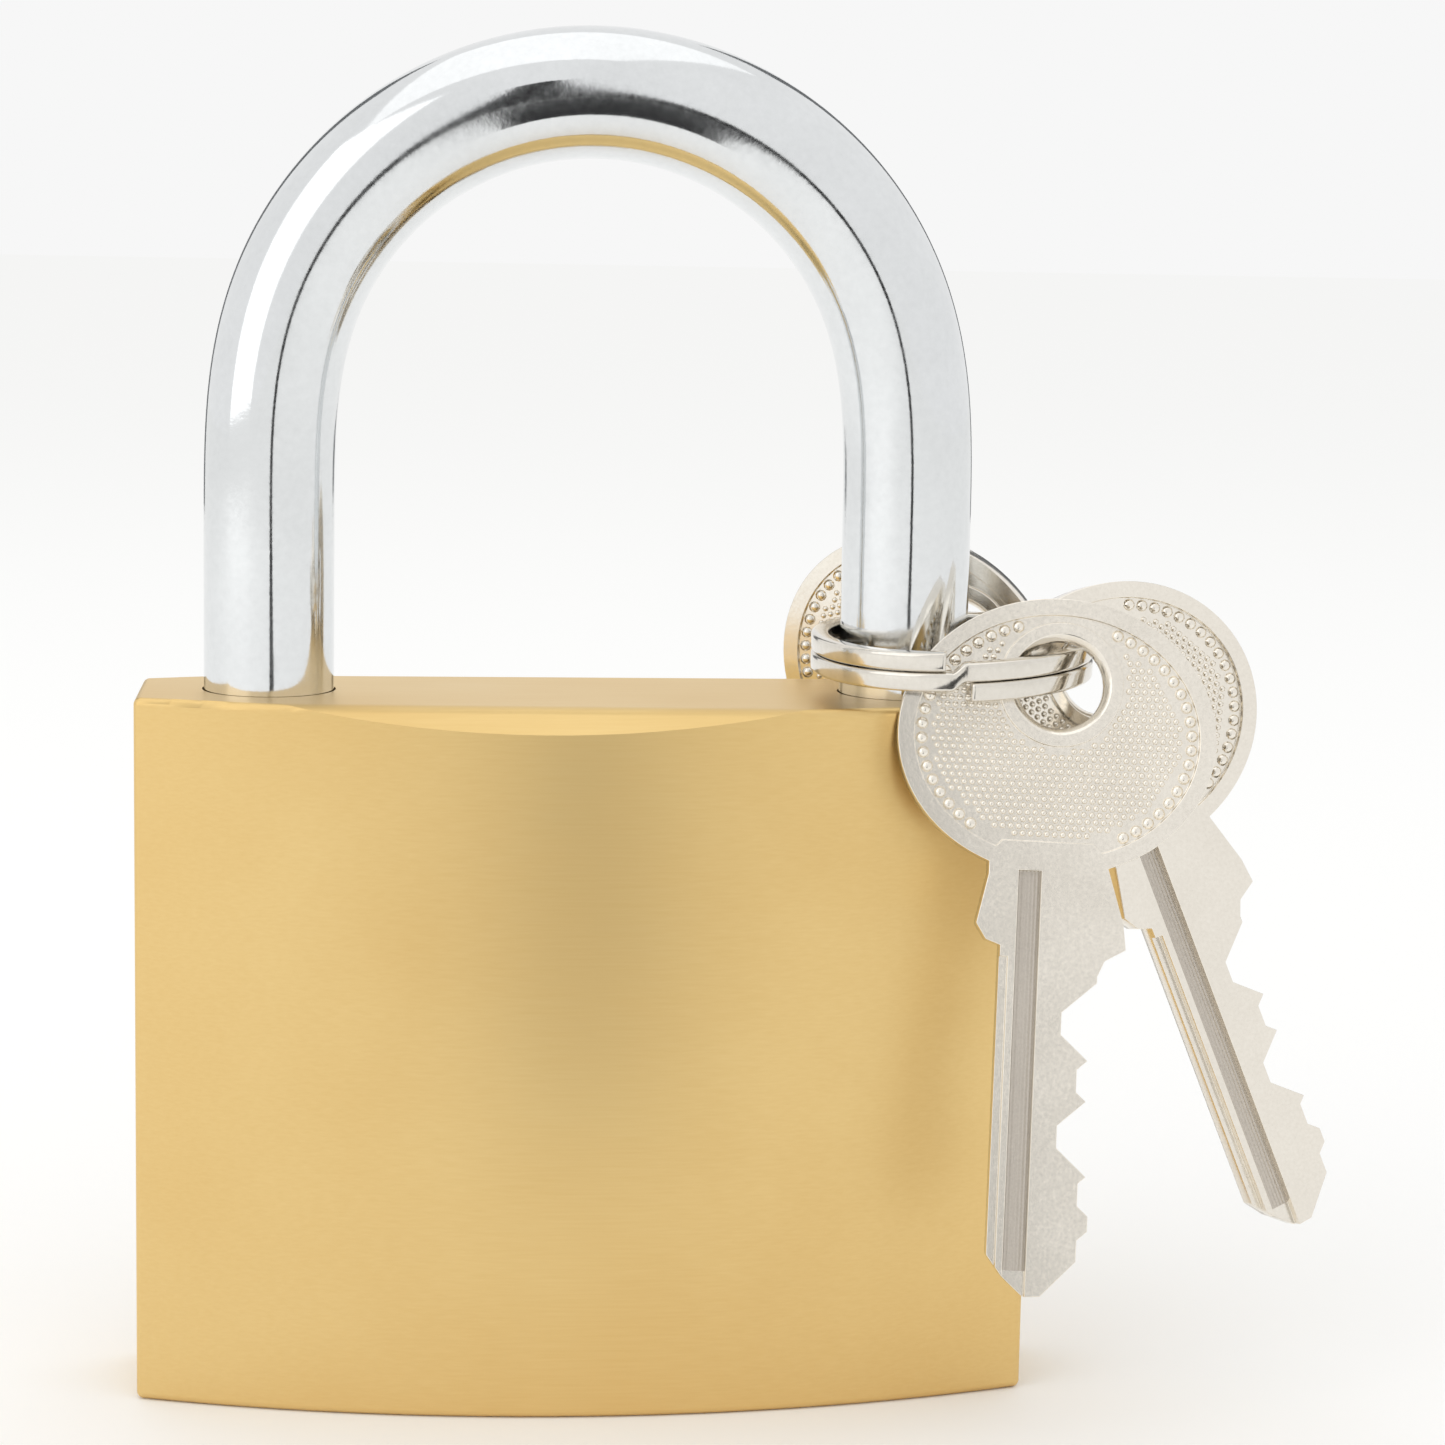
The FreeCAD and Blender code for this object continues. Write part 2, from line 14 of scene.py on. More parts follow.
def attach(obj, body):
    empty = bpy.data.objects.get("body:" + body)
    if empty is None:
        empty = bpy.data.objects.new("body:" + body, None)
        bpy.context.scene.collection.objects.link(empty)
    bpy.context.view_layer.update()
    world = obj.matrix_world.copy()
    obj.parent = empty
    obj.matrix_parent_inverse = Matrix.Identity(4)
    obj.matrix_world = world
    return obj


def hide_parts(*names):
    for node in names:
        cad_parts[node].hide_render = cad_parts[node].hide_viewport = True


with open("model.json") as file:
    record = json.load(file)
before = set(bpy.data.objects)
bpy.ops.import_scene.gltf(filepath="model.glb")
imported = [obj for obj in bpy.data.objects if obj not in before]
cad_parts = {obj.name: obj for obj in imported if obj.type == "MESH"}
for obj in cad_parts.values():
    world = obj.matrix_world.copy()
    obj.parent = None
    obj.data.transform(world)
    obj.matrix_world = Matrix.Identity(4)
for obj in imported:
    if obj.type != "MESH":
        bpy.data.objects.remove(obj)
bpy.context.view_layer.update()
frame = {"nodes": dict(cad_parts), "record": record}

LOG = logging.getLogger("padlock")
MM = 0.001
Grid = np.ndarray

# A finish's pattern is noise, which stays mostly between these two values.
PATTERN_LOW = 0.3
PATTERN_HIGH = 0.7
GRAIN_DETAIL = 3.0
GRAIN_ROUGHNESS = 0.6
CLOUD_DETAIL = 2.0
# The bevel's profile that gives a quarter circle.
ROUND_PROFILE = 0.5
# How strongly an ordinary paint reflects.
PAINT_SHEEN = 0.5
PAINT_ROUGHNESS = 0.9


def linear(hex_colour: str) -> tuple[float, float, float, float]:
    """Turn an sRGB hex colour into linear light.

    Args:
        hex_colour: six hex digits, such as "C8A050".

    Returns:
        Red, green, blue and alpha, each from 0 to 1.
    """
    parts = [int(hex_colour[i:i + 2], 16) / 255 for i in (0, 2, 4)]
    light = [p / 12.92 if p <= 0.04045 else ((p + 0.055) / 1.055) ** 2.4 for p in parts]
    return light[0], light[1], light[2], 1.0


def add_node(tree: bpy.types.NodeTree, kind: str, inputs: dict[str | int, object] | None = None,
             **settings: object) -> bpy.types.Node:
    """Add a node with its settings, values and links.

    Args:
        tree: the material's node tree.
        kind: the node type's name without "ShaderNode".
        inputs: input name or number to a value, or to the output socket that feeds it.
        settings: attributes of the node.

    Returns:
        The new node.
    """
    node = tree.nodes.new("ShaderNode" + kind)
    for name, value in settings.items():
        setattr(node, name, value)
    for name, value in (inputs or {}).items():
        if isinstance(value, bpy.types.NodeSocket):
            tree.links.new(value, node.inputs[name])
        else:
            node.inputs[name].default_value = value
    return node


# ---------------------------------------------------------------- finishes


@dataclass(frozen=True)
class MetalFinish:
    """A metal whose colour and gloss vary with its grain.

    grain_mm is the width of a brushing line or pit, and stretch is how many times longer it is
    along X, Y and Z. cloud_mm is the size of the soft patches where the lacquer or plating is
    thicker. The darker colour and the duller gloss go with the higher parts of the pattern.
    """

    name: str
    colour: str
    dark_colour: str
    roughness: float
    roughness_spread: float
    grain_mm: float
    grain_depth_mm: float
    stretch: tuple[float, float, float] = (1.0, 1.0, 1.0)
    cloud_mm: float = 9.0
    cloud_share: float = 0.35
    tint_share: float = 0.5

    def material(self) -> bpy.types.Material:
        """Build the procedural material once and reuse it afterwards."""
        found = bpy.data.materials.get(self.name)
        if found:
            return found
        made = bpy.data.materials.new(self.name)
        made.use_nodes = True
        tree = made.node_tree
        shader = tree.nodes["Principled BSDF"]
        shader.inputs["Metallic"].default_value = 1.0
        place = add_node(tree, "TexCoord").outputs["Object"]
        along = add_node(tree, "Mapping", {"Vector": place, "Scale": tuple(1 / s for s in self.stretch)})
        grain = add_node(tree, "TexNoise", {"Vector": along.outputs["Vector"], "Detail": GRAIN_DETAIL,
                                            "Scale": 1 / (self.grain_mm * MM),
                                            "Roughness": GRAIN_ROUGHNESS})
        cloud = add_node(tree, "TexNoise", {"Vector": place, "Detail": CLOUD_DETAIL,
                                            "Scale": 1 / (self.cloud_mm * MM)})
        blend = add_node(tree, "Mix", {0: self.cloud_share, 2: grain.outputs["Fac"],
                                       3: cloud.outputs["Fac"]}, data_type="FLOAT")
        pattern = {"Value": blend.outputs[0], "From Min": PATTERN_LOW, "From Max": PATTERN_HIGH}
        darker = add_node(tree, "MapRange", pattern | {"To Min": 0.0, "To Max": self.tint_share})
        tint = add_node(tree, "Mix", {0: darker.outputs["Result"], 6: linear(self.colour),
                                      7: linear(self.dark_colour)}, data_type="RGBA")
        tree.links.new(tint.outputs[2], shader.inputs["Base Color"])
        gloss = add_node(tree, "MapRange", pattern | {"To Min": self.roughness - self.roughness_spread,
                                                      "To Max": self.roughness + self.roughness_spread})
        tree.links.new(gloss.outputs["Result"], shader.inputs["Roughness"])
        relief = add_node(tree, "Bump", {"Height": grain.outputs["Fac"], "Strength": 1.0,
                                         "Distance": self.grain_depth_mm * MM})
        tree.links.new(relief.outputs["Normal"], shader.inputs["Normal"])
        return made


# Brushed and lacquered brass: fine lines along the width, softly glossy, pale gold. The lines are
# drawn wider than a real brush leaves them, so that they show.
SATIN_BRASS = MetalFinish("satin_brass", "E9CB8D", "DCB775", 0.38, 0.04, 0.14, 0.0008,
                          stretch=(40.0, 1.0, 1.0), cloud_mm=14.0, cloud_share=0.6, tint_share=0.5)
# Turned brass, unlacquered, for the plug and the small plugs: a little darker than the body.
TURNED_BRASS = MetalFinish("turned_brass", "DDB873", "BE9450", 0.28, 0.06, 0.12, 0.0015)
# Chrome plate on polished steel: mirror bright, with a faint orange peel and pin-prick pits.
CHROME_PLATE = MetalFinish("chrome_plate", "E9EBEC", "D3D5D6", 0.085, 0.04, 0.45, 0.0018, cloud_mm=6.0,
                           cloud_share=0.5)
# Nickel plate over a tumbled brass key: warm white, satin, with fine handling scratches.
NICKEL_PLATE = MetalFinish("nickel_plate", "F4EEE3", "DDD6CA", 0.17, 0.05, 0.20, 0.0016, cloud_mm=4.0)
# Nickel plate on polished spring wire: the ring is glossier than the keys.
BRIGHT_NICKEL = MetalFinish("bright_nickel", "E6E1D8", "CFC9BE", 0.12, 0.04, 0.30, 0.0010, cloud_mm=3.0)
# Milled brass under thin nickel, in the key's groove: duller and greyer than the plated faces.
MILLED_GROOVE = MetalFinish("milled_groove", "CFC7BC", "ADA59B", 0.38, 0.08, 0.12, 0.0020)
# Turned steel, uncoated, for the bolts and the retaining pins: plain grey, half dull.
PLAIN_STEEL = MetalFinish("plain_steel", "B9B9B6", "8F8F8C", 0.33, 0.08, 0.10, 0.0020)
# Drawn spring steel wire: darker grey, with a drawn skin that is a little glossier.
SPRING_WIRE = MetalFinish("spring_wire", "A6A8AA", "7E8084", 0.30, 0.08, 0.15, 0.0015)


class Slot(Enum):
    """The record's material slots, each with the finish that its CAD nodes show."""

    BRASS = ("brass", SATIN_BRASS)
    PLUG_BRASS = ("plug_brass", TURNED_BRASS)
    PIN_BRASS = ("pin_brass", TURNED_BRASS)
    CHROME = ("chrome", CHROME_PLATE)
    NICKEL = ("nickel", NICKEL_PLATE)
    STEEL = ("steel", PLAIN_STEEL)
    SPRING_STEEL = ("spring_steel", SPRING_WIRE)

    @property
    def label(self) -> str:
        """The slot's name in the record."""
        return self.value[0]

    @property
    def finish(self) -> MetalFinish:
        """The finish for this slot's nodes."""
        return self.value[1]


# ---------------------------------------------------------------- mesh helpers


def linked(name: str, data: bpy.types.ID) -> bpy.types.Object:
    """Put a mesh, a light or a camera into the scene as an object at the origin."""
    made = bpy.data.objects.new(name, data)
    bpy.context.scene.collection.objects.link(made)
    return made


def mesh_piece(name: str, points: Grid, faces: list[Grid], finish: MetalFinish) -> bpy.types.Object:
    """Put arrays of points and faces into a new smooth-shaded object at the origin.

    Args:
        name: the piece's name.
        points: n by 3, in millimetres, in the frame that the whole lock shares.
        faces: arrays of point numbers, one array for each count of corners.
        finish: what the piece's surface is.

    Returns:
        The new object, linked to the scene.
    """
    mesh = bpy.data.meshes.new(name)
    corners = np.concatenate([f.ravel() for f in faces]).astype(np.int32)
    counts = np.concatenate([np.full(len(f), f.shape[1], dtype=np.int32) for f in faces])
    starts = np.concatenate([[0], np.cumsum(counts)[:-1]]).astype(np.int32)
    mesh.vertices.add(len(points))
    mesh.vertices.foreach_set("co", (np.asarray(points, dtype=float) * MM).astype(np.float32).ravel())
    mesh.loops.add(len(corners))
    mesh.loops.foreach_set("vertex_index", corners)
    mesh.polygons.add(len(counts))
    mesh.polygons.foreach_set("loop_start", starts)
    mesh.polygons.foreach_set("loop_total", counts)
    mesh.polygons.foreach_set("use_smooth", np.full(len(counts), True))
    mesh.update(calc_edges=True)
    mesh.validate()
    mesh.materials.append(finish.material())
    return linked(name, mesh)


def tube_faces(rings: int, corners: int) -> list[Grid]:
    """Quads round a tube of closed rings, and one flat face over each end.

    Args:
        rings: how many rings of points, in order along the tube.
        corners: how many points in each ring.

    Returns:
        The side quads, and the two end faces.
    """
    ring = np.arange(rings - 1)[:, None] * corners
    corner = np.arange(corners)[None, :]
    after = (corner + 1) % corners
    sides = np.stack([ring + corner, ring + after, ring + corners + after, ring + corners + corner],
                     axis=-1)
    ends = np.stack([np.arange(corners)[::-1], np.arange(corners) + (rings - 1) * corners])
    return [sides.reshape(-1, 4), ends]


def rounded_rectangle(width: float, height: float, radius: float, steps: int) -> Grid:
    """Points round a rectangle with round corners, anticlockwise.

    Each corner is a quarter circle of the radius about a point that is the radius in from
    both sides.
    """
    quarter = np.linspace(0, math.pi / 2, steps)
    turn = quarter[None, :] + np.arange(4)[:, None] * math.pi / 2
    middle_x = (width / 2 - radius) * np.array([1, -1, -1, 1])[:, None]
    middle_y = (height / 2 - radius) * np.array([1, 1, -1, -1])[:, None]
    x = middle_x + radius * np.cos(turn)
    y = middle_y + radius * np.sin(turn)
    return np.stack([x.ravel(), y.ravel()], axis=-1)


def turn_about(axis: str, degrees: float) -> Grid:
    """The rotation matrix about one axis."""
    return np.array(Matrix.Rotation(math.radians(degrees), 3, axis))


def pebble(sides: int, levels: int) -> tuple[Grid, list[Grid]]:
    """A closed low ball of unit size with its poles along Y.

    The rings are circles of radius sin(a) at height -cos(a), for equal steps of a from pole
    to pole.

    Args:
        sides: how many points in each ring.
        levels: how many rings between the poles.

    Returns:
        Points, and faces with their normals outwards.
    """
    rise = np.linspace(0, math.pi, levels + 2)[1:-1, None]
    round_turn = np.linspace(0, 2 * math.pi, sides, endpoint=False)[None, :]
    rings = np.stack([np.sin(rise) * np.cos(round_turn), -np.cos(rise) * np.ones_like(round_turn),
                      -np.sin(rise) * np.sin(round_turn)], axis=-1).reshape(-1, 3)
    points = np.concatenate([rings, [[0, -1, 0], [0, 1, 0]]])
    bands = tube_faces(levels, sides)[0]
    side = np.arange(sides)
    after = (side + 1) % sides
    low, high = len(rings), len(rings) + 1
    last = (levels - 1) * sides
    caps = np.concatenate([np.stack([np.full(sides, low), after, side], axis=-1),
                           np.stack([np.full(sides, high), last + side, last + after], axis=-1)])
    return points, [bands, caps]


def scatter(shape: tuple[Grid, list[Grid]], centres: Grid, sizes: Grid) -> tuple[Grid, list[Grid]]:
    """Copy one small shape to many places.

    Args:
        shape: the shape's points and faces.
        centres: n by 3 places.
        sizes: n by 3 scales along the axes.

    Returns:
        All points, and all faces.
    """
    points, faces = shape
    placed = centres[:, None, :] + points[None, :, :] * sizes[:, None, :]
    offset = (np.arange(len(centres)) * len(points))[:, None, None]
    return placed.reshape(-1, 3), [(f[None] + offset).reshape(-1, f.shape[1]) for f in faces]


# ---------------------------------------------------------------- sub-assemblies


@dataclass
class CadDress:
    """Gives each CAD node that stays in view the finish of its material slot."""

    def dress(self) -> None:
        """Put the slot's material on every node."""
        slots = {part["node"]: part["material_slot"] for part in frame["record"]["subparts"]}
        by_label = {slot.label: slot for slot in Slot}
        for name, node in frame["nodes"].items():
            slot = by_label[slots[name]]
            node.data.materials.clear()
            node.data.materials.append(slot.finish.material())
            LOG.info("%s: %s", name, slot.finish.name)


@dataclass
class Shackle:
    """The bent round bar: two straight legs joined by a bend that tightens and eases gently.

    Sizes are millimetres. Each section is a circle, cut flat where the bolts catch it, where
    the heel pin runs, and round the turning groove.
    """

    leg_x: float = 17.8
    bar_radius: float = 3.6
    top: float = 76.3
    toe_end: float = 26.0
    heel_end: float = 7.5
    chamfer: float = 0.7
    notch: tuple[float, float, float] = (28.4, 33.6, 1.4)
    heel_flat: tuple[float, float, float] = (9.9, 26.7, 2.4)
    groove_top: float = 12.2
    ease_share: float = 0.22
    bend_steps: int = 360
    corners: int = 96
    leg_step: float = 1.5
    bend_gap: float = 0.5
    uncut: float = 4.6
    sharp_turn: float = 30.0

    def bend(self) -> tuple[Grid, Grid, Grid]:
        """The middle line of the bend, and its heading.

        The curvature rises over the first ease_share of the length as 3t^2 - 2t^3, stays level,
        and falls the same way. The heading is its running sum, and the line is the running sum
        of the heading's cosine and sine, scaled to the distance between the legs.
        """
        s = (np.arange(self.bend_steps) + 0.5) / self.bend_steps
        t = np.clip(np.minimum(s, 1 - s) / self.ease_share, 0, 1)
        curve = 3 * t ** 2 - 2 * t ** 3
        heading = math.pi / 2 - math.pi * (np.cumsum(curve) - curve / 2) / curve.sum()
        x = np.concatenate([[0], np.cumsum(np.cos(heading))])
        z = np.concatenate([[0], np.cumsum(np.sin(heading))])
        size = 2 * self.leg_x / x[-1]
        edges = np.concatenate([[math.pi / 2], (heading[1:] + heading[:-1]) / 2, [-math.pi / 2]])
        x = x * size - self.leg_x
        return x, z * size + self.top - self.bar_radius - z.max() * size, edges

    def leg(self, end: float, bend_start: float, heel: bool) -> Grid:
        """Rows of height, radius, inner limit and back limit, from the end of a leg up.

        Args:
            end: the height of the leg's lower end.
            bend_start: the height where the bend starts.
            heel: whether this is the long leg, with the flat and the groove.

        Returns:
            n by 4. Two rows at one height make a square step. A limit of uncut cuts nothing.
        """
        r, free = self.bar_radius, self.uncut
        rows = [(end, r - self.chamfer, free, free), (end + self.chamfer, r, free, free)]
        if heel:
            low, high, back = self.heel_flat
            rows += [(low, r, free, free), (low, back, free, back),
                     (self.groove_top, back, free, back), (self.groove_top, r, free, back),
                     (high, r, free, back), (high, r, free, free)]
        low, high, inner = self.notch
        rows += [(low, r, free, free), (low, r, inner, free),
                 (high, r, inner, free), (high, r, free, free)]
        plain = np.arange(high + self.leg_step, bend_start - self.bend_gap, self.leg_step)
        plain_rows = np.column_stack([plain, np.full_like(plain, r), np.full((len(plain), 2), free)])
        return np.concatenate([np.array(rows), plain_rows])

    def build(self) -> None:
        """Carry the section up the toe leg, round the bend and down the heel leg."""
        bend_x, bend_z, heading = self.bend()
        toe = self.leg(self.toe_end, bend_z[0], False)
        heel = self.leg(self.heel_end, bend_z[0], True)[::-1]
        x = np.concatenate([np.full(len(toe), -self.leg_x), bend_x, np.full(len(heel), self.leg_x)])
        z = np.concatenate([toe[:, 0], bend_z, heel[:, 0]])
        turn = np.concatenate([np.full(len(toe), math.pi / 2), heading,
                               np.full(len(heel), -math.pi / 2)])
        plain = np.tile([self.bar_radius, self.uncut, self.uncut], (len(bend_x), 1))
        limits = np.concatenate([toe[:, 1:], plain, heel[:, 1:]])
        around = np.linspace(0, 2 * math.pi, self.corners, endpoint=False)
        inward = np.minimum(limits[:, :1] * np.cos(around), limits[:, 1:2])
        back = np.minimum(limits[:, :1] * np.sin(around), limits[:, 2:3])
        points = np.stack([x[:, None] + inward * np.sin(turn)[:, None], back,
                           z[:, None] - inward * np.cos(turn)[:, None]], axis=-1).reshape(-1, 3)
        faces = tube_faces(len(x), self.corners)
        piece = mesh_piece("shackle_bar", points, faces, CHROME_PLATE)
        piece.data.set_sharp_from_angle(angle=math.radians(self.sharp_turn))
        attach(piece, "shackle")
        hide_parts("shackle")
        LOG.info("shackle_bar: %d points", len(points))


@dataclass
class SplitRing:
    """A ring of flat-drawn wire in two turns, with a short step between the cut ends.

    Sizes are millimetres and degrees. Beside the cut ends both turns spring a little away from
    flat, up before the step and down after it.
    """

    centre: tuple[float, float, float] = (20.24, -2.0, 42.14)
    tilt: float = 3.2
    outer_radius: float = 7.9
    wire_width: float = 1.0
    wire_height: float = 1.05
    layer_gap: float = 0.05
    step_start: float = 260.0
    step_end: float = 268.0
    cut_clearance: float = 1.5
    spring: float = 0.3
    spring_side: float = 4.0
    spring_reach: float = 80.0
    edge_radius: float = 0.2
    edge_steps: int = 5
    turn_step: float = 1.2

    def path(self) -> tuple[Grid, Grid]:
        """Angles along the wire, and the height of its middle at each.

        The height is a smooth step, 3t^2 - 2t^3, of one layer, less the spring. The spring
        changes sign over the step and fades as the square of the distance that is left.
        """
        first = self.step_end + self.cut_clearance - 360
        last = self.step_start - self.cut_clearance + 360
        angles = np.linspace(first, last, int((last - first) / self.turn_step) + 1)
        t = np.clip((angles - self.step_start) / (self.step_end - self.step_start), 0, 1)
        climb = (self.wire_height + self.layer_gap) * (3 * t ** 2 - 2 * t ** 3 - 0.5)
        offset = (angles - (self.step_start + self.step_end) / 2 + 180) % 360 - 180
        lean = np.clip(offset / self.spring_side, -1, 1)
        fade = (1 - np.minimum(np.abs(offset), self.spring_reach) / self.spring_reach) ** 2
        return np.radians(angles), climb - self.spring * lean * fade

    def build(self) -> None:
        """Sweep the wire's rounded section round the path, and hang the ring on its body."""
        turns, heights = self.path()
        section = rounded_rectangle(self.wire_width, self.wire_height, self.edge_radius, self.edge_steps)
        radius = self.outer_radius - self.wire_width / 2 + section[:, 0]
        x = np.cos(turns)[:, None] * radius
        y = np.sin(turns)[:, None] * radius
        z = heights[:, None] + section[None, :, 1]
        points = np.stack([x, y, z], axis=-1).reshape(-1, 3)
        points = points @ turn_about("X", self.tilt).T + np.array(self.centre)
        faces = tube_faces(len(turns), len(section))
        piece = mesh_piece("ring_wire", points, [f[:, ::-1] for f in faces], BRIGHT_NICKEL)
        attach(piece, "ring")
        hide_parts("split_ring")
        LOG.info("ring_wire: %d points", len(points))


@dataclass
class HungKey:
    """One key: its plate, the floor of its milled groove, and the raised pattern on its head.

    Sizes are millimetres in the key's own frame: its hole's centre is the origin, X is across
    the key and Z is up, away from the tip. The pose is the one that the CAD key hangs at.
    """

    body: str
    hole: tuple[float, float, float]
    yaw: float
    swing: float
    tilt: float
    head_centre: tuple[float, float] = (-0.1, -2.85)
    head_half: tuple[float, float] = (8.7, 7.55)
    half_thickness: float = 0.75
    recess: float = 0.25
    rim: float = 0.9
    bead: float = 0.37
    bead_height: float = 0.24
    bead_pitch: float = 0.80
    bead_gap: float = 0.04
    pebble_size: float = 0.205
    pebble_height: float = 0.16
    pebble_pitch: float = 0.44
    sunk_share: float = 0.25
    oval_steps: int = 2000
    lattice_half: int = 50
    collar: float = 3.4
    panel_gap: float = 0.1
    panel: tuple[float, float, float] = (-3.53, 2.78, -8.6)
    merge_distance: float = 0.002
    join_turn: float = 0.6
    edge_turn: float = 28.0
    edge_round: float = 0.11
    edge_steps: int = 2
    sharp_turn: float = 38.0
    flat_cosine: float = 0.9999
    groove: tuple[float, float, float, float] = (-1.87, -0.67, -10.25, -31.8)
    groove_y: float = -0.25
    floor_lift: float = 0.01
    floor_sunk: float = 0.05
    ridge: float = 0.02
    ridge_pitch: float = 0.2
    ridge_points: int = 49
    groove_sharp_turn: float = 50.0

    def place(self, points: Grid) -> Grid:
        """Turn points from the key's own frame into the lock's frame."""
        turn = turn_about("Z", self.yaw) @ turn_about("X", self.tilt) @ turn_about("Y", self.swing)
        return points @ turn.T + np.array(self.hole)

    def clear_of_panel(self, across: Grid, up: Grid, margin: float) -> Grid:
        """True where a point keeps the margin from the plain panel and the hole's collar."""
        left, right, top = self.panel
        beside = (across < left - margin) | (across > right + margin) | (up > top + margin)
        return beside & (np.hypot(across, up) > self.collar + margin)

    def bead_centres(self) -> Grid:
        """Equal steps of length round an oval just inside the rim.

        The oval's length is summed from many short chords, and the beads stand at equal shares
        of it.
        """
        inset = self.rim + self.bead_gap + self.bead
        fine = np.linspace(0, 2 * math.pi, self.oval_steps)
        x = self.head_centre[0] + (self.head_half[0] - inset) * np.cos(fine)
        z = self.head_centre[1] + (self.head_half[1] - inset) * np.sin(fine)
        length = np.concatenate([[0], np.cumsum(np.hypot(np.diff(x), np.diff(z)))])
        count = round(length[-1] / self.bead_pitch)
        at = (np.arange(count) + 0.5) * length[-1] / count
        centres = np.stack([np.interp(at, length, x), np.interp(at, length, z)], axis=-1)
        return centres[self.clear_of_panel(centres[:, 0], centres[:, 1], self.bead + self.panel_gap)]

    def pebble_centres(self) -> Grid:
        """A lattice of equal triangles, kept inside the beads and off the collar and panel."""
        steps = np.arange(-self.lattice_half, self.lattice_half + 1)
        column, row = np.meshgrid(steps, steps)
        x = (column + 0.5 * (row % 2)) * self.pebble_pitch
        z = row * self.pebble_pitch * math.sqrt(3) / 2 + self.head_centre[1]
        inset = self.rim + 2 * self.bead + self.pebble_size + 2 * self.bead_gap
        inside = ((x - self.head_centre[0]) / (self.head_half[0] - inset)) ** 2
        inside = inside + ((z - self.head_centre[1]) / (self.head_half[1] - inset)) ** 2 < 1
        kept = inside & self.clear_of_panel(x, z, self.pebble_size + self.panel_gap / 2)
        return np.stack([x[kept], z[kept]], axis=-1)

    def relief(self, name: str, centres: Grid, radius: float, height: float,
               ball: tuple[Grid, list[Grid]]) -> None:
        """Stand one small ball at each centre on both faces of the head.

        Args:
            name: what the piece is.
            centres: n by 2, across and up.
            radius: half the ball's width.
            height: how far each stands above the sunk field.
            ball: the shape that is repeated.
        """
        sunk = radius * self.sunk_share
        depth = self.half_thickness - self.recess - sunk
        both = np.concatenate([np.insert(centres, 1, side * depth, axis=1) for side in (-1, 1)])
        sizes = np.tile([radius, height + sunk, radius], (len(both), 1))
        points, faces = scatter(ball, both, sizes)
        piece = mesh_piece(f"{self.body}_{name}", self.place(points), faces, NICKEL_PLATE)
        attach(piece, self.body)
        LOG.info("%s_%s: %d balls", self.body, name, len(both))

    def plate(self) -> None:
        """Round the stamped edges of the key's plate.

        The plate is the CAD key with its flat faces joined up, and every edge sharper than
        edge_turn gets a small round. Faces square to the thickness are shaded flat: their
        normal's share along it is at least flat_cosine.
        """
        name = f"{self.body}_plate"
        mesh = bpy.data.meshes.new(name)
        work = bmesh.new()
        work.from_mesh(frame["nodes"][self.body].data)
        bmesh.ops.remove_doubles(work, verts=work.verts, dist=self.merge_distance * MM)
        bmesh.ops.dissolve_limit(work, angle_limit=math.radians(self.join_turn), verts=work.verts,
                                 edges=work.edges, use_dissolve_boundaries=False)
        least = math.radians(self.edge_turn)
        sharp = [e for e in work.edges if e.is_manifold and e.calc_face_angle(0) > least]
        bmesh.ops.bevel(work, geom=sharp, offset=self.edge_round * MM, segments=self.edge_steps,
                        profile=ROUND_PROFILE, affect="EDGES", clamp_overlap=True)
        bmesh.ops.triangulate(work, faces=[f for f in work.faces if len(f.verts) > 4])
        work.to_mesh(mesh)
        work.free()
        mesh.set_sharp_from_angle(angle=math.radians(self.sharp_turn))
        normals = np.empty(3 * len(mesh.polygons), dtype=np.float32)
        mesh.polygons.foreach_get("normal", normals)
        through = self.place(np.array([0.0, 1.0, 0.0])) - np.array(self.hole)
        share = np.abs(normals.reshape(-1, 3) @ through)
        mesh.polygons.foreach_set("use_smooth", share < self.flat_cosine)
        mesh.materials.append(NICKEL_PLATE.material())
        piece = linked(name, mesh)
        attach(piece, self.body)
        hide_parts(self.body)
        LOG.info("%s: %d faces", name, len(mesh.polygons))

    def groove_floor(self) -> None:
        """Line the milled groove with its duller floor.

        The floor's section has small ridges, a cosine of ridge_pitch, drawn straight along the
        groove.
        """
        left, right, top, bottom = self.groove
        across = np.linspace(left, right, self.ridge_points)
        ridge = self.ridge * (1 + np.cos(2 * math.pi * across / self.ridge_pitch)) / 2
        front = np.stack([across, self.groove_y - self.floor_lift - ridge], axis=-1)
        behind = self.groove_y + self.floor_sunk
        back = np.array([[right, behind], [left, behind]])
        section = np.concatenate([front, back])
        ends = [np.column_stack([section, np.full(len(section), z)]) for z in (bottom, top)]
        faces = tube_faces(2, len(section))
        piece = mesh_piece(f"{self.body}_groove", self.place(np.concatenate(ends)), faces, MILLED_GROOVE)
        piece.data.set_sharp_from_angle(angle=math.radians(self.groove_sharp_turn))
        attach(piece, self.body)
        LOG.info("%s_groove", self.body)

    def build(self) -> None:
        """Build the plate and its groove, and add the border of beads and the field of pebbles."""
        self.plate()
        self.groove_floor()
        self.relief("beads", self.bead_centres(), self.bead, self.bead_height,
                    pebble(sides=10, levels=5))
        self.relief("pebbles", self.pebble_centres(), self.pebble_size, self.pebble_height,
                    pebble(sides=6, levels=3))


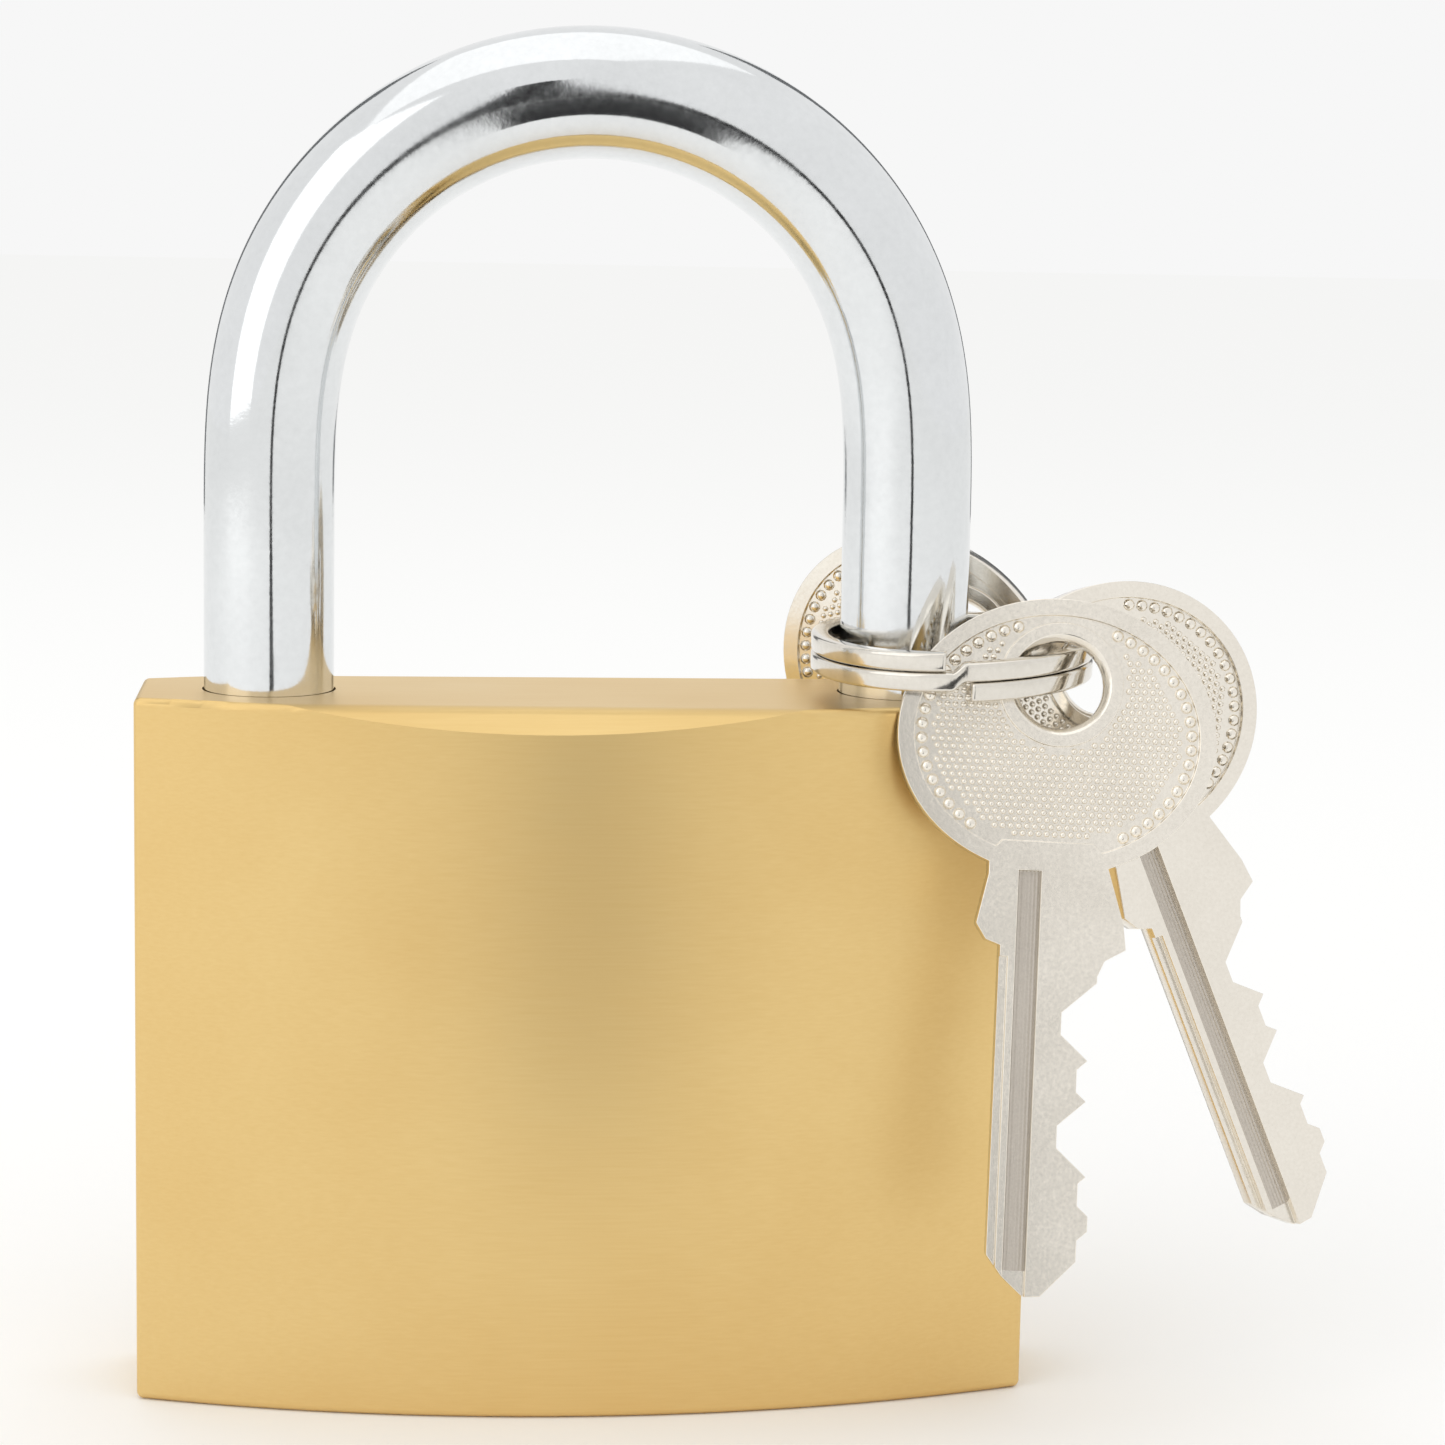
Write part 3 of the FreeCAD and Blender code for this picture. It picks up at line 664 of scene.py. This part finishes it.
@dataclass
class Studio:
    """The pale floor, the soft lights and the camera. Sizes are metres, and turns are degrees."""

    floor_half: float = 4.0
    floor_drop: float = 0.00002
    gap_turn: float = 2.8
    gap_half_width: float = 0.019
    gap_near: float = 0.085
    gap_far: float = 0.50
    gap_lift: float = 0.0006
    gap_top: tuple[float, float, float] = (-0.015, -0.52, 0.28)
    gap_colour: str = "1C1C1D"
    rear_turns: tuple[float, float] = (17.0, 30.0)
    rear_distance: float = 0.6
    rear_height: float = 0.5
    rear_colour: str = "6E7072"
    room_strength: float = 0.93
    lamp_aim: tuple[float, float, float] = (0.0, 0.0, 0.035)
    camera_target: tuple[float, float, float] = (0.007611, 0.0, 0.0378)
    camera_distance: float = 0.2
    camera_turn: float = -5.61
    camera_rise: float = 8.23
    camera_roll: float = 1.09
    lens_mm: float = 88.24
    sensor_mm: float = 36.0
    nearest: float = 0.01

    def paint(self, name: str, colour: str, sheen: float) -> bpy.types.Material:
        """Mix a matt paint.

        Args:
            name: the paint's name.
            colour: its sRGB hex colour.
            sheen: how strongly it reflects.

        Returns:
            The new material.
        """
        made = bpy.data.materials.new(name)
        made.use_nodes = True
        shader = made.node_tree.nodes["Principled BSDF"]
        shader.inputs["Base Color"].default_value = linear(colour)
        shader.inputs["Roughness"].default_value = PAINT_ROUGHNESS
        shader.inputs["Specular IOR Level"].default_value = sheen
        return made

    def floor(self) -> None:
        """Lay a matt white floor under the lock."""
        half, low = self.floor_half, -self.floor_drop
        corners = [(-half, -half, low), (half, -half, low), (half, half, low), (-half, half, low)]
        mesh = bpy.data.meshes.new("studio_floor")
        mesh.from_pydata(corners, [], [(0, 1, 2, 3)])
        mesh.materials.append(self.paint("matt_white_paper", "FDFDFC", 0.0))
        floor = linked("studio_floor", mesh)

    def soft_box(self, name: str, place: tuple[float, float, float], width: float, height: float,
                 power: float) -> None:
        """Hang one rectangular soft light that faces the lock's middle."""
        lamp = bpy.data.lights.new(name, "AREA")
        lamp.shape = "RECTANGLE"
        lamp.size = width
        lamp.size_y = height
        lamp.energy = power
        holder = linked(name, lamp)
        holder.visible_camera = False
        holder.location = place
        aim = Vector(self.lamp_aim) - Vector(place)
        holder.rotation_euler = aim.to_track_quat("-Z", "Y").to_euler()

    def reflected_card(self, name: str, corners: list[Vector], faces: list[tuple[int, ...]],
                       colour: str) -> None:
        """Stand a matt card that only reflections show.

        Args:
            name: the card's name.
            corners: its points.
            faces: the points of each face.
            colour: the paint's sRGB hex colour.
        """
        mesh = bpy.data.meshes.new(name)
        mesh.from_pydata(corners, [], faces)
        mesh.materials.append(self.paint(name, colour, PAINT_SHEEN))
        card = linked(name, mesh)
        card.visible_camera = False
        card.visible_diffuse = False
        card.visible_shadow = False

    def front_card(self) -> None:
        """Leave a dark gap between the white panels in front.

        The strip runs over the floor away from the lock and then up, leaning to the left: it is
        the thin dark line down each bright leg, and the dark arc along the bend.
        """
        turn = math.radians(self.gap_turn)
        away = Vector((math.sin(turn), -math.cos(turn), 0))
        side = Vector((math.cos(turn), math.sin(turn), 0)) * self.gap_half_width
        lift = Vector((0, 0, self.gap_lift))
        path = [away * self.gap_near + lift, away * self.gap_far + lift, Vector(self.gap_top)]
        corners = [point + side * k for point in path for k in (-1, 1)]
        self.reflected_card("front_gap", corners, [(0, 1, 3, 2), (2, 3, 5, 4)], self.gap_colour)

    def rear_card(self, name: str, side: int) -> None:
        """Stand a grey card behind, which is the fine outline along the legs' edges.

        Args:
            name: the card's name.
            side: -1 for the left, 1 for the right.
        """
        turns = [math.radians(side * turn) for turn in self.rear_turns]
        ends = [Vector((math.sin(turn), math.cos(turn), 0)) * self.rear_distance for turn in sorted(turns)]
        corners = [end + Vector((0, 0, z)) for end in ends for z in (0.0, self.rear_height)]
        self.reflected_card(name, corners, [(0, 1, 3, 2)], self.rear_colour)

    def lights(self) -> None:
        """Light the lock from the left and above, inside a pale room."""
        world = bpy.data.worlds.new("pale_room")
        world.use_nodes = True
        back = world.node_tree.nodes["Background"]
        back.inputs["Color"].default_value = linear("FFFFFF")
        back.inputs["Strength"].default_value = self.room_strength
        bpy.context.scene.world = world
        self.soft_box("left_box", (-0.45, -0.30, 0.30), width=0.45, height=0.55, power=0.40)
        self.soft_box("top_box", (-0.05, 0.02, 0.55), width=0.6, height=0.5, power=0.30)

    def camera(self) -> None:
        """Stand the camera a little left of straight ahead, just above the lock's middle."""
        turn, rise = math.radians(self.camera_turn), math.radians(self.camera_rise)
        roll = math.radians(self.camera_roll)
        back = Vector((math.sin(turn) * math.cos(rise), -math.cos(turn) * math.cos(rise), math.sin(rise)))
        right = Vector((0, 0, 1)).cross(back).normalized()
        up = back.cross(right)
        tilted_right = right * math.cos(roll) + up * math.sin(roll)
        tilted_up = up * math.cos(roll) - right * math.sin(roll)
        lens = bpy.data.cameras.new("studio_camera")
        lens.sensor_width = self.sensor_mm
        lens.lens = self.lens_mm
        lens.clip_start = self.nearest
        holder = linked("studio_camera", lens)
        axes = Matrix((tilted_right, tilted_up, back)).transposed().to_4x4()
        place = Vector(self.camera_target) + back * self.camera_distance
        holder.matrix_world = Matrix.Translation(place) @ axes
        bpy.context.scene.camera = holder

    def build(self) -> None:
        """Set up the floor, the cards, the lights and the camera."""
        self.floor()
        self.front_card()
        self.rear_card("rear_left", -1)
        self.rear_card("rear_right", 1)
        self.lights()
        self.camera()
        bpy.context.scene.view_settings.view_transform = "Standard"
        LOG.info("studio: floor, cards, lights and camera")


def main() -> None:
    """Build every piece in order and dress it."""
    logging.basicConfig(level=logging.INFO, format="%(name)s %(message)s")
    CadDress().dress()
    Shackle().build()
    SplitRing().build()
    HungKey("key_1", (25.36, -7.65, 41.04), -4.0, 2.05, -12.5).build()
    HungKey("key_2", (28.14, -4.19, 41.38), 14.0, -19.6, -10.9).build()
    HungKey("key_3", (21.9, 6.68, 41.74), -20.7, 45.0, 0.5).build()
    Studio().build()


if __name__ == "__main__":
    main()
